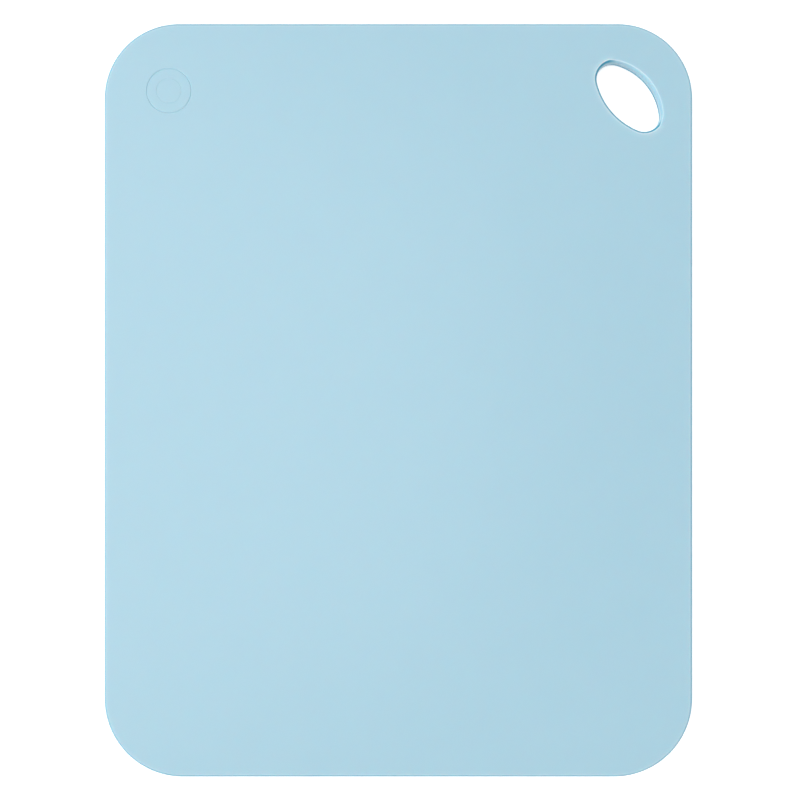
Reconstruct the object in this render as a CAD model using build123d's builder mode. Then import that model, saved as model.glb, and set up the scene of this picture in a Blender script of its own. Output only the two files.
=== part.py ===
from build123d import *
import math
import os

# A flexible cutting mat: one moulded plastic sheet with rounded corners and soft edges, a slanted
# oval hole to hang it by, and a mark of two ring grooves.
# Sizes are in millimetres. The origin is the centre of the underside, which lies on the worktop.
# +X points to the side with the hole, +Y to the end with the hole, +Z up out of the cutting face.

# Sheet
mat_width = 281.2
mat_length = 360.0
mat_thickness = 5.0
top_corner_radius = 35.8
bottom_corner_radius = 37.5
edge_radius = 1.5

# Upright wall that the rounded edges above and below it leave, at least, in a thinner sheet
upright_wall_share = 0.1

# Hanging hole in the top right corner: an oval of four arcs, whose long axis falls towards the
# right side. Its side towards the mat's corner bulges more than its side towards the mat's middle.
hole_length = 38.5
hole_end_radius = 8.0
hole_outer_bulge = 11.35
hole_inner_bulge = 10.65
hole_from_right_side = 30.4
hole_from_top_end = 35.0
hole_turn_degrees = -49.2

# Ring mark in the top left corner: two round-bottomed ring grooves about one centre
mark_from_left_side = 31.2
mark_from_top_end = 32.4
outer_ring_radius = 10.6
outer_ring_width = 0.8
outer_ring_depth = 0.25
inner_ring_radius = 5.9
inner_ring_width = 0.6
inner_ring_depth = 0.12

# Places that follow from the sizes above
hole_x = mat_width / 2 - hole_from_right_side
hole_y = mat_length / 2 - hole_from_top_end
mark_x = mark_from_left_side - mat_width / 2
mark_y = mat_length / 2 - mark_from_top_end
rounding = min(edge_radius, mat_thickness * (1 - upright_wall_share) / 2)


def arcs_meet(bulge):
    """Where a side arc that bulges this far runs smoothly into an end arc, from the hole's centre."""
    end_centre = hole_length / 2 - hole_end_radius
    rise = bulge - hole_end_radius
    side_centre = (end_centre**2 - rise**2) / (2 * rise)
    span = math.hypot(end_centre, side_centre)
    return end_centre + hole_end_radius * end_centre / span, hole_end_radius * side_centre / span


def cutter_radius(groove_width, groove_depth):
    """Radius of the round cutter that leaves a groove this wide at its mouth and this deep."""
    return (groove_width**2 / 4 + groove_depth**2) / (2 * groove_depth)


# The hole's outline, in its own plane, with x along the long axis and y towards the mat's corner
long_axis = Vector(1, 0, 0).rotate(Axis.Z, hole_turn_degrees)
hole_plane = Plane(origin=(hole_x, hole_y, 0), x_dir=long_axis, z_dir=(0, 0, 1))
outer_x, outer_y = arcs_meet(hole_outer_bulge)
inner_x, inner_y = arcs_meet(hole_inner_bulge)

# The sheet, with its hole and rounded edges, and then the grooves in its cutting face
mark_axis = Axis((mark_x, mark_y, mat_thickness), (0, 0, 1))
mark_section = Plane(origin=(mark_x, mark_y, mat_thickness), x_dir=(1, 0, 0), z_dir=(0, -1, 0))
rings = [
    (outer_ring_radius, outer_ring_width, outer_ring_depth),
    (inner_ring_radius, inner_ring_width, inner_ring_depth),
]

with BuildPart() as mat_sheet:
    with BuildSketch() as outline:
        Rectangle(mat_width, mat_length)
        fillet(outline.vertices().group_by(Axis.Y)[-1], radius=top_corner_radius)
        fillet(outline.vertices().group_by(Axis.Y)[0], radius=bottom_corner_radius)
    extrude(amount=mat_thickness)
    with BuildSketch(hole_plane):
        with BuildLine():
            ThreePointArc((-outer_x, outer_y), (0, hole_outer_bulge), (outer_x, outer_y))
            ThreePointArc((outer_x, outer_y), (hole_length / 2, 0), (inner_x, -inner_y))
            ThreePointArc((inner_x, -inner_y), (0, -hole_inner_bulge), (-inner_x, -inner_y))
            ThreePointArc((-inner_x, -inner_y), (-hole_length / 2, 0), (-outer_x, outer_y))
        make_face()
    extrude(amount=mat_thickness, mode=Mode.SUBTRACT)
    fillet(mat_sheet.faces().filter_by(Axis.Z).edges(), radius=rounding)
    for ring_radius, ring_width, ring_depth in rings:
        cutter = cutter_radius(ring_width, ring_depth)
        with BuildSketch(mark_section):
            with Locations((ring_radius, cutter - ring_depth)):
                Circle(cutter)
        revolve(axis=mark_axis, mode=Mode.SUBTRACT)

mat_sheet.part.label = "mat_sheet"

os.makedirs("parts", exist_ok=True)
export_step(mat_sheet.part, "parts/mat_sheet.step")

sheet_box = mat_sheet.part.bounding_box()
print("sheet", [round(value, 3) for value in (*sheet_box.min, *sheet_box.max)])
print("volume cm3", round(mat_sheet.part.volume / 1000, 3))
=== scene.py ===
import math

import bpy
from mathutils import Matrix, Vector
from mathutils.geometry import delaunay_2d_cdt


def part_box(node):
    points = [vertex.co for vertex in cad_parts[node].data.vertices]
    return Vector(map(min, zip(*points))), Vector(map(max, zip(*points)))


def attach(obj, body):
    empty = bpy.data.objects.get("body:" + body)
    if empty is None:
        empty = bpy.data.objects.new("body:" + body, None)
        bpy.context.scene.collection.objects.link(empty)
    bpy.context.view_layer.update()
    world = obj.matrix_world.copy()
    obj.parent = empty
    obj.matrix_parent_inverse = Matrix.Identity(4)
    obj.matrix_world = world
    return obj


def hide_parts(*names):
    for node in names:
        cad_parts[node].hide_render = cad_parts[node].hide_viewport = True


# A flexible cutting mat of pale blue moulded plastic, lying on a pale floor and seen from straight above.
# Sizes are in metres. The sheet's outer size, and every place on it, comes from the frame's own box.
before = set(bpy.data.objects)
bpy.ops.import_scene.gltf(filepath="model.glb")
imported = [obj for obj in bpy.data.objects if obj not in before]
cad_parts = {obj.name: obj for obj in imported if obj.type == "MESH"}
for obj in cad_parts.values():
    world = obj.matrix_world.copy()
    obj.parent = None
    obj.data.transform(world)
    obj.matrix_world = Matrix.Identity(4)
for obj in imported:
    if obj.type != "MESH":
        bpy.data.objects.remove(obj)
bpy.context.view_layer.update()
low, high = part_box("mat_sheet")
middle = (low + high) / 2

# Sheet
top_corner_radius = 0.0358
bottom_corner_radius = 0.0375
edge_radius = 0.0015

# Hanging hole: four arcs about a long axis that falls towards the right side, with the outer bulge
# towards the mat's corner and the inner bulge towards its middle
hole_length = 0.0385
hole_end_radius = 0.0080
hole_outer_bulge = 0.01135
hole_inner_bulge = 0.01065
hole_centre = Vector((high.x - 0.0304, high.y - 0.0350))
hole_turn = math.radians(-49.2)

# Ring mark: radius, width and depth of each ring groove, the outer ring first
mark_centre = Vector((low.x + 0.0312, high.y - 0.0324))
rings = [(0.0106, 0.0008, 0.00022), (0.0059, 0.0006, 0.00010)]

# Fineness of the mesh, and how far the rim's finer rows reach into the face
corner_steps = 32
rim_steps = 18
arc_steps = 40
ring_steps = 128
groove_steps = 8
face_step = 0.009
shoulder_reach = 0.003
shoulder_steps = 8
merge_distance = 1e-9

# Pale tone of a rim, a painted highlight: a light line painted along the edge of the flat face, with its
# half width and how far down the rounding it is shifted, and a fade from it into the face. Far is the side
# of the hole towards the mat's corner. An end is one of the hole's two round ends.
highlight_half_width = 0.0004
highlight_shift_at_ends = 0.0002
highlight_shift_far = 0.0003
highlight_shift_far_ends = 0.0005
highlight_fade_share = 0.45
highlight_fade_power = 1.5

# Deep tone of a rim, a painted shade: a darker colour painted where the plastic is rounded: the slants
# away from the face, in degrees, at which it starts, is full, starts to fade and is gone. On the hole's
# far side the painted shade lies at the wall's foot instead: it ends at one share of the wall's height, is
# full below another, and goes down to a slant of the lower rounding. Otherwise the roundings keep only a
# share of it there, and one more in the lit part.
shade_slants_at_sides = (3, 14, 60, 90)
shade_slants_at_ends = (14, 22, 48, 70)
foot_slant = 60
foot_full_share = 0.25
foot_end_share = 0.45
far_rounding_share = 0.08
lit_rounding_share = 0.12

# How strong the painted highlight and the painted shade are: full at the hole's two ends, and less along
# its sides and round the sheet. The far side gains some of the painted highlight. The lit part keeps only
# a share of the painted highlight, and has the painted shade in full.
sheet_highlight_share = 0.24
sheet_shade_share = 0.33
hole_side_highlight_share = 0.67
hole_side_shade_share = 0.68
far_highlight_gain_share = 0.3
lit_highlight_share = 0.6

# Where the far side starts and is full, and where its lit part starts, which faces left, as cosines.
# The slide moves the far side along the hole, towards its lower end.
far_start = 0.3
far_full = 0.65
far_slide = 0.35
lit_start = 0.7

# The photograph's framing, in its own pixels, and the camera's distance from the cutting face
image_px = 800
mat_width_px = 587.2
mat_centre_px = Vector((398.4, 400.3))
camera_distance = 0.345

# Width of the camera's sensor, in the millimetres that a camera's own settings use
sensor_width = 36.0

# The sRGB curve: a straight foot, and above its end a power curve
srgb_foot_end = 0.04045
srgb_foot_slope = 12.92
srgb_offset = 0.055
srgb_power = 2.4

white = (1, 1, 1, 1)


def srgb_to_linear(red, green, blue):
    """Linear colour, with alpha, of a colour given as 0 to 255 in sRGB."""
    def one(value):
        share = value / 255
        if share <= srgb_foot_end:
            return share / srgb_foot_slope
        return ((share + srgb_offset) / (1 + srgb_offset))**srgb_power
    return (one(red), one(green), one(blue), 1)


def ramp(value, start, end):
    """0 before start, 1 beyond end, and a straight line between them. Start may lie above end."""
    return min(1, max(0, (value - start) / (end - start)))


def blend(value_a, value_b, share):
    """value_a at share 0, value_b at share 1, and a straight line between them."""
    return value_a + (value_b - value_a) * share


def plateau(value, start, full, fade, end):
    """0 outside start and end, 1 between full and fade, and straight lines between them."""
    return ramp(value, start, full) * ramp(value, end, fade)


class Skin:
    """Vertices with their true surface normals, and faces, gathered ring by ring."""

    def __init__(self):
        self.places = []
        self.normals = []
        self.tones = []
        self.faces = []

    def add(self, place, normal, tone=(0, 0)):
        """Adds one vertex, with its shares of the painted highlight and the painted shade, and returns its
        number.
        """
        self.places.append(place)
        self.normals.append(normal.normalized())
        self.tones.append(tone)
        return len(self.places) - 1

    def loop(self, points, height, outward, upward, tone_at=lambda nx, ny: (0, 0)):
        """Adds one closed ring of (x, y, nx, ny) points, with painted highlight and shade by direction,
        and returns its numbers.
        """
        return [self.add((x, y, height), Vector((nx * outward, ny * outward, upward)), tone_at(nx, ny))
                for x, y, nx, ny in points]

    def bridge(self, ring_a, ring_b):
        """Joins two rings of like length with quads, facing up where ring_b is to the right of ring_a."""
        count = len(ring_a)
        for i in range(count):
            j = (i + 1) % count
            self.faces.append((ring_a[i], ring_b[i], ring_b[j], ring_a[j]))

    def fill(self, rings_of_edge, extra_points, height, upward, keeps):
        """Fills a flat region, between rings that it shares and over extra inner points."""
        numbers = [n for ring in rings_of_edge for n in ring]
        numbers += [self.add((x, y, height), Vector((0, 0, upward))) for x, y in extra_points]
        flat = [Vector(self.places[n][:2]) for n in numbers]
        edges = []
        start = 0
        for ring in rings_of_edge:
            count = len(ring)
            edges += [(start + i, start + (i + 1) % count) for i in range(count)]
            start += count
        out_points, _, triangles, origins, _, _ = delaunay_2d_cdt(flat, edges, [], 0, merge_distance)
        for triangle in triangles:
            centre = sum((out_points[i] for i in triangle), Vector((0, 0))) / 3
            if keeps(centre):
                corners = [numbers[origins[i][0]] for i in triangle]
                self.faces.append(tuple(corners if upward > 0 else reversed(corners)))

    def to_object(self, name):
        """Makes a smooth-shaded object whose normals are the true ones."""
        mesh = bpy.data.meshes.new(name)
        mesh.from_pydata(self.places, [], self.faces)
        mesh.polygons.foreach_set("use_smooth", [True] * len(mesh.polygons))
        mesh.normals_split_custom_set_from_vertices(self.normals)
        # The shares of painted highlight and painted shade go onto the mesh as attributes.
        for label, shares in zip(("painted_highlight_share", "painted_shade_share"), zip(*self.tones)):
            mesh.attributes.new(label, "FLOAT", "POINT").data.foreach_set("value", shares)
        mesh.validate()
        piece = bpy.data.objects.new(name, mesh)
        bpy.context.scene.collection.objects.link(piece)
        return piece


def sheet_outline(inset):
    """The rounded rectangle, anticlockwise, drawn in by inset, as (x, y, nx, ny)."""
    corners = [
        (high.x, high.y, top_corner_radius, 0),
        (low.x, high.y, top_corner_radius, 90),
        (low.x, low.y, bottom_corner_radius, 180),
        (high.x, low.y, bottom_corner_radius, 270),
    ]
    arcs = []
    for corner_x, corner_y, radius, start_degrees in corners:
        centre_x = corner_x - math.copysign(radius, corner_x - middle.x)
        centre_y = corner_y - math.copysign(radius, corner_y - middle.y)
        arc = []
        for i in range(corner_steps + 1):
            angle = math.radians(start_degrees + 90 * i / corner_steps)
            nx, ny = math.cos(angle), math.sin(angle)
            arc.append((centre_x + (radius - inset) * nx, centre_y + (radius - inset) * ny, nx, ny))
        arcs.append(arc)
    points = []
    for arc, next_arc in zip(arcs, arcs[1:] + arcs[:1]):
        points += arc
        end, start = arc[-1], next_arc[0]
        steps = max(1, round(math.dist(end[:2], start[:2]) / face_step))
        for i in range(1, steps):
            share = i / steps
            points.append((blend(end[0], start[0], share), blend(end[1], start[1], share), end[2], end[3]))
    return points


def side_centre(bulge):
    """How far beyond the long axis the centre of a hole's side arc lies."""
    end_centre = hole_length / 2 - hole_end_radius
    rise = bulge - hole_end_radius
    return (end_centre**2 - rise**2) / (2 * rise)


def hole_outline(outset):
    """The four-arc oval, clockwise, widened by outset, with normals that point into the hole."""
    end_centre = hole_length / 2 - hole_end_radius
    outer_centre, inner_centre = side_centre(hole_outer_bulge), side_centre(hole_inner_bulge)
    outer_angle = math.atan2(outer_centre, end_centre)
    inner_angle = math.atan2(inner_centre, end_centre)
    arcs = [
        (end_centre, 0, hole_end_radius, -inner_angle, outer_angle),
        (0, -outer_centre, hole_outer_bulge + outer_centre, outer_angle, math.pi - outer_angle),
        (-end_centre, 0, hole_end_radius, math.pi - outer_angle, math.pi + inner_angle),
        (0, inner_centre, hole_inner_bulge + inner_centre, math.pi + inner_angle, math.tau - inner_angle),
    ]
    points = []
    for along, across, radius, first_angle, last_angle in arcs:
        for i in range(arc_steps):
            angle = first_angle + (last_angle - first_angle) * i / arc_steps
            place = Vector((along + (radius + outset) * math.cos(angle),
                            across + (radius + outset) * math.sin(angle)))
            place.rotate(Matrix.Rotation(hole_turn, 2))
            place += hole_centre
            points.append((place.x, place.y, -math.cos(angle + hole_turn), -math.sin(angle + hole_turn)))
    return points[::-1]


def ring_outline(radius):
    """A circle about the ring mark's centre, anticlockwise."""
    points = []
    for i in range(ring_steps):
        angle = math.tau * i / ring_steps
        nx, ny = math.cos(angle), math.sin(angle)
        points.append((mark_centre.x + radius * nx, mark_centre.y + radius * ny, nx, ny))
    return points


def rim_section():
    """A rim from the face round to the underside, as (inset, height, slant, run, foot_share).

    The slant is in degrees away from the face. The run is the way round the section from the edge of
    the nearer flat face, below zero on that face. The foot is the lower part of the wall, with the part
    of the rounding that is next to it.
    """
    half = []
    for i in range(shoulder_steps):
        reach = shoulder_reach * (1 - i / shoulder_steps)**2
        half.append((edge_radius + reach, edge_radius, 0, -reach))
    for i in range(rim_steps + 1):
        slant = 90 * i / rim_steps
        tilt = math.radians(slant)
        inset = edge_radius * (1 - math.sin(tilt))
        half.append((inset, edge_radius * math.cos(tilt), slant, edge_radius * tilt))
    wall_run = half[-1][-1]
    wall_top, wall_bottom = high.z - edge_radius, low.z + edge_radius
    rows = [(inset, wall_top + rise, slant, run, 0) for inset, rise, slant, run in half]
    for height_share, foot_share in ((foot_end_share, 0), (foot_full_share, 1)):
        rows.append((0, blend(wall_bottom, wall_top, height_share), 90, wall_run, foot_share))
    for inset, rise, slant, run in reversed(half):
        rows.append((inset, wall_bottom - rise, 180 - slant, run, 1 if slant > foot_slant else 0))
    return rows


def rim_painted_light(row, far_share, end_share, kept_share, highlight_limit_share, shade_limit_share):
    """Shares of the painted highlight and the painted shade at one place of a rim's section."""
    _, _, slant, run, foot_share = row
    shift_far = highlight_shift_far + highlight_shift_far_ends * math.sqrt(end_share)
    shift = highlight_shift_at_ends * end_share + shift_far * far_share
    line_share = 1 - ramp(abs(run - shift), 0, highlight_half_width)
    fade_share = 0
    if run < 0:
        into_face_share = math.sqrt(-run / shoulder_reach)
        fade_share = highlight_fade_share * (1 - far_share) * (1 - into_face_share)**highlight_fade_power
    painted_highlight_share = highlight_limit_share * max(line_share, fade_share)

    turned = min(slant, 180 - slant)
    side_share = plateau(turned, *shade_slants_at_sides)
    rounding_share = blend(side_share, plateau(turned, *shade_slants_at_ends), end_share)
    rounding_share *= blend(1, kept_share, far_share)
    painted_shade_share = shade_limit_share * max(rounding_share, foot_share * far_share)
    return painted_highlight_share, painted_shade_share


def sheet_setting(nx, ny):
    """What rim_painted_light needs to know, in any direction, along the sheet's outer rim."""
    return 0, 0, 1, sheet_highlight_share, sheet_shade_share


def hole_setting(nx, ny):
    """What rim_painted_light needs to know where the hole's wall faces (nx, ny)."""
    facing = Vector((nx, ny))
    outward = (hole_centre - middle.xy).normalized()
    long_axis = Vector((math.cos(hole_turn), math.sin(hole_turn)))
    along = facing.dot(long_axis)
    far_share = ramp(-facing.dot(outward) - far_slide * along, far_start, far_full)
    end_share = along**2
    # Where the far wall faces the light on the left, the painted highlight is weaker and the painted shade
    # is full.
    lit_share = far_share * ramp(-nx, lit_start, 1)
    kept_share = far_rounding_share + lit_rounding_share * lit_share
    highlight_limit_share = blend(hole_side_highlight_share, 1, max(end_share, far_highlight_gain_share * far_share))
    highlight_limit_share *= blend(1, lit_highlight_share, lit_share)
    shade_limit_share = blend(hole_side_shade_share, 1, max(end_share, lit_share))
    return far_share, end_share, kept_share, highlight_limit_share, shade_limit_share


def add_rim(skin, outline, setting):
    """Adds the rounded edge along an outline and returns its top and bottom rings."""
    rings_of_rim = []
    for row in rim_section():
        inset, height, slant, _, _ = row
        tilt = math.radians(slant)
        rings_of_rim.append(skin.loop(outline(inset), height, math.sin(tilt), math.cos(tilt),
                                      lambda nx, ny: rim_painted_light(row, *setting(nx, ny))))
    for ring, next_ring in zip(rings_of_rim, rings_of_rim[1:]):
        skin.bridge(ring, next_ring)
    return rings_of_rim[0], rings_of_rim[-1]


def add_groove(skin, radius, width, depth):
    """Adds one soft round-bottomed ring groove and returns its outer and inner rings."""
    rows = []
    for i in range(groove_steps + 1):
        offset = width * (1 / 2 - i / groove_steps)
        turn = math.tau * offset / width
        height = high.z - depth * (1 + math.cos(turn)) / 2
        slope = depth * math.pi / width * math.sin(turn)
        rows.append(skin.loop(ring_outline(radius + offset), height, -slope, 1))
    for outer, inner in zip(rows, rows[1:]):
        skin.bridge(inner, outer)
    return rows[0], rows[-1]


def in_hole(point, outset):
    """True if a point lies inside the hole's convex outline, widened by outset."""
    return all((point.x - x) * nx + (point.y - y) * ny > 0 for x, y, nx, ny in hole_outline(outset))


def in_sheet(point, inset):
    """True if a point lies inside the sheet's convex outline, drawn in by inset."""
    return all((point.x - x) * nx + (point.y - y) * ny < 0 for x, y, nx, ny in sheet_outline(inset))


def in_mark(point, margin=0):
    """True if a point lies inside the mark's outer groove, widened by margin."""
    radius, width, _ = rings[0]
    return (point - mark_centre).length < radius + width / 2 + margin


def face_points(clear):
    """Inner points of a face, on a grid with every other row staggered, that keep clear of every edge."""
    columns = round((high.x - low.x) / face_step)
    rows = round((high.y - low.y) / face_step)
    points = []
    for i in range(1, columns):
        for j in range(1, rows):
            stagger = (j % 2 - 1 / 2) / 2
            x = blend(low.x, high.x, (i + stagger) / columns)
            y = blend(low.y, high.y, j / rows)
            if clear(Vector((x, y))):
                points.append((x, y))
    return points


def make_mat():
    """The whole mat as one closed mesh."""
    skin = Skin()
    outer_top, outer_bottom = add_rim(skin, sheet_outline, sheet_setting)
    hole_top, hole_bottom = add_rim(skin, hole_outline, hole_setting)
    face_edge = edge_radius + shoulder_reach
    clearance = face_step / 2

    grooves = [add_groove(skin, *ring) for ring in rings]
    skin.bridge(grooves[1][0], grooves[0][1])
    skin.fill([grooves[1][1]], [], high.z, 1, lambda point: True)

    below = face_points(lambda point: in_sheet(point, face_edge + clearance)
                        and not in_hole(point, face_edge + clearance))
    above = [place for place in below if not in_mark(Vector(place), clearance)]
    skin.fill([outer_top, hole_top, grooves[0][0]], above, high.z, 1,
              lambda point: not in_hole(point, face_edge) and not in_mark(point))
    skin.fill([outer_bottom, hole_bottom], below, low.z, -1,
              lambda point: not in_hole(point, face_edge))
    return skin.to_object("mat")


mat = make_mat()
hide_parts("mat_sheet")
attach(mat, "root")


def fill_socket(tree, socket, value):
    """Links a socket to another node's output, or sets its value."""
    if isinstance(value, bpy.types.NodeSocket):
        tree.links.new(value, socket)
    else:
        socket.default_value = value


def fill_inputs(tree, node, **inputs):
    """Fills a node's named inputs, with spaces in their names written as underscores."""
    for name, value in inputs.items():
        fill_socket(tree, node.inputs[name.replace("_", " ")], value)
    return node


def new_material(name):
    """A new material, with its node tree and its main shader."""
    material = bpy.data.materials.new(name)
    material.use_nodes = True
    return material, material.node_tree, material.node_tree.nodes["Principled BSDF"]


def mixed_colour(tree, share, colour_a, colour_b):
    """A colour that goes from colour_a at share 0 to colour_b at share 1."""
    mix = tree.nodes.new("ShaderNodeMix")
    mix.data_type = "RGBA"

    # Several of the node's sockets have the same name, so the ones for colours go by number.
    share_socket, socket_a, socket_b = mix.inputs[0], mix.inputs[6], mix.inputs[7]
    result_socket = mix.outputs[2]
    fill_socket(tree, share_socket, share)
    fill_socket(tree, socket_a, colour_a)
    fill_socket(tree, socket_b, colour_b)
    return result_socket


def vertex_share(tree, label):
    """A share that the mesh holds at its vertices."""
    reader = tree.nodes.new("ShaderNodeAttribute")
    reader.attribute_name = label
    return reader.outputs["Fac"]


def noise(tree, scale, detail):
    """Soft noise from 0 to 1, fixed to the object."""
    place = tree.nodes.new("ShaderNodeTexCoord").outputs["Object"]
    texture = tree.nodes.new("ShaderNodeTexNoise")
    return fill_inputs(tree, texture, Vector=place, Scale=scale, Detail=detail).outputs["Fac"]


def mat_plastic():
    """Pale blue soft plastic with a fine moulded grain, faintly clouded, and with a painted shade and a
    painted highlight along its rims.
    """
    sheet_blue = srgb_to_linear(174.3, 213.8, 229.3)
    cloud_blue = srgb_to_linear(177.3, 215.8, 231.3)
    painted_shade_blue = srgb_to_linear(42, 154, 186)
    painted_highlight_blue = srgb_to_linear(226, 244, 251)
    gloss_roughness, dull_roughness = 0.31, 0.35
    refraction = 1.55
    clouds_per_metre, cloud_detail = 40, 4
    grains_per_metre, grain_detail = 1700, 2
    grain_height = 0.00004
    grain_share = 0.5
    scatter_share = 0.5
    light_reach = 0.002
    light_reach_shares = (0.25, 0.8, 1.0)

    material, tree, shader = new_material("mat_plastic")
    cloud = noise(tree, clouds_per_metre, cloud_detail)
    colour = mixed_colour(tree, cloud, sheet_blue, cloud_blue)
    # Painted shade, then painted highlight, mixed into the colour along the rims.
    colour = mixed_colour(tree, vertex_share(tree, "painted_shade_share"), colour, painted_shade_blue)
    colour = mixed_colour(tree, vertex_share(tree, "painted_highlight_share"), colour, painted_highlight_blue)
    roughness = fill_inputs(tree, tree.nodes.new("ShaderNodeMapRange"),
                            Value=cloud, To_Min=gloss_roughness, To_Max=dull_roughness)
    grain = noise(tree, grains_per_metre, grain_detail)
    bump = fill_inputs(tree, tree.nodes.new("ShaderNodeBump"),
                       Height=grain, Strength=grain_share, Distance=grain_height)
    fill_inputs(tree, shader, Base_Color=colour, Roughness=roughness.outputs["Result"],
                Normal=bump.outputs["Normal"], IOR=refraction, Subsurface_Weight=scatter_share,
                Subsurface_Radius=light_reach_shares, Subsurface_Scale=light_reach)
    return material


def seen_by_eye(tree):
    """1 for rays from the camera and for mirror and glass rays, else 0."""
    path = tree.nodes.new("ShaderNodeLightPath")
    total = path.outputs["Is Camera Ray"]
    for name in ("Is Glossy Ray", "Is Transmission Ray"):
        larger = tree.nodes.new("ShaderNodeMath")
        larger.operation = "MAXIMUM"
        tree.links.new(total, larger.inputs[0])
        tree.links.new(path.outputs[name], larger.inputs[1])
        total = larger.outputs[0]
    return total


def strength_by_eye(tree, unseen, seen):
    """One strength for the rays that the eye sees by, and another for the rays that only light things."""
    choice = fill_inputs(tree, tree.nodes.new("ShaderNodeMapRange"),
                         Value=seen_by_eye(tree), To_Min=unseen, To_Max=seen)
    return choice.outputs["Result"]


def floor_paper():
    """Pale floor that shows white to the eye and keeps the dark part of the mat's shadow."""
    paper_grey = (0.8, 0.8, 0.8, 1)
    paper_roughness = 0.9
    paper_gloss = 0.2
    lift = 0.6
    material, tree, shader = new_material("floor_paper")
    fill_inputs(tree, shader, Base_Color=paper_grey,
                Roughness=paper_roughness, Specular_IOR_Level=paper_gloss,
                Emission_Color=white, Emission_Strength=strength_by_eye(tree, unseen=0, seen=lift))
    return material


def make_floor():
    """A wide pale floor under the mat."""
    reach = 3.0
    mesh = bpy.data.meshes.new("floor")
    corners = [(x * reach, y * reach, low.z) for x, y in ((-1, -1), (1, -1), (1, 1), (-1, 1))]
    mesh.from_pydata(corners, [], [(0, 1, 2, 3)])
    floor = bpy.data.objects.new("floor", mesh)
    bpy.context.scene.collection.objects.link(floor)
    mesh.materials.append(floor_paper())


def make_light():
    """One broad softbox overhead on the left, and a pale sky of even light."""
    softbox_lean = math.radians(-44)
    softbox_turn = math.radians(2.7)
    softbox_distance = 5.0
    softbox_half_width = math.radians(52)
    softbox_half_length = math.radians(30)
    softbox_brightness = 1.45
    even_light = 0.49
    white_sky = 1

    lamp = bpy.data.lights.new("softbox", "AREA")
    lamp.shape = "RECTANGLE"
    lamp.size = 2 * softbox_distance * math.tan(softbox_half_width)
    lamp.size_y = 2 * softbox_distance * math.tan(softbox_half_length)
    lamp.energy = softbox_brightness * math.pi * lamp.size * lamp.size_y
    softbox = bpy.data.objects.new("softbox", lamp)
    towards = Vector((math.tan(softbox_lean), math.tan(softbox_turn), 1)).normalized()
    softbox.location = middle + towards * softbox_distance
    softbox.rotation_euler = towards.to_track_quat("Z", "X").to_euler()
    bpy.context.scene.collection.objects.link(softbox)

    world = bpy.data.worlds.new("studio")
    bpy.context.scene.world = world
    world.use_nodes = True
    tree = world.node_tree
    fill_inputs(tree, tree.nodes["Background"], Color=white,
                Strength=strength_by_eye(tree, unseen=even_light, seen=white_sky))


def make_camera():
    """Looks straight down at the mat, framed as in the photograph."""
    outline_distance = camera_distance + edge_radius
    metres_per_px = (high.x - low.x) / mat_width_px * camera_distance / outline_distance
    frame_width = image_px * metres_per_px
    lens = bpy.data.cameras.new("camera")
    lens.sensor_width = sensor_width
    lens.lens = sensor_width * camera_distance / frame_width
    camera = bpy.data.objects.new("camera", lens)
    off_centre = Vector((image_px / 2, image_px / 2)) - mat_centre_px
    x = middle.x + off_centre.x * metres_per_px
    y = middle.y - off_centre.y * metres_per_px
    camera.location = (x, y, high.z + camera_distance)
    bpy.context.scene.collection.objects.link(camera)
    bpy.context.scene.camera = camera


mat.data.materials.append(mat_plastic())
make_floor()
make_light()
make_camera()
bpy.context.scene.view_settings.view_transform = "Standard"
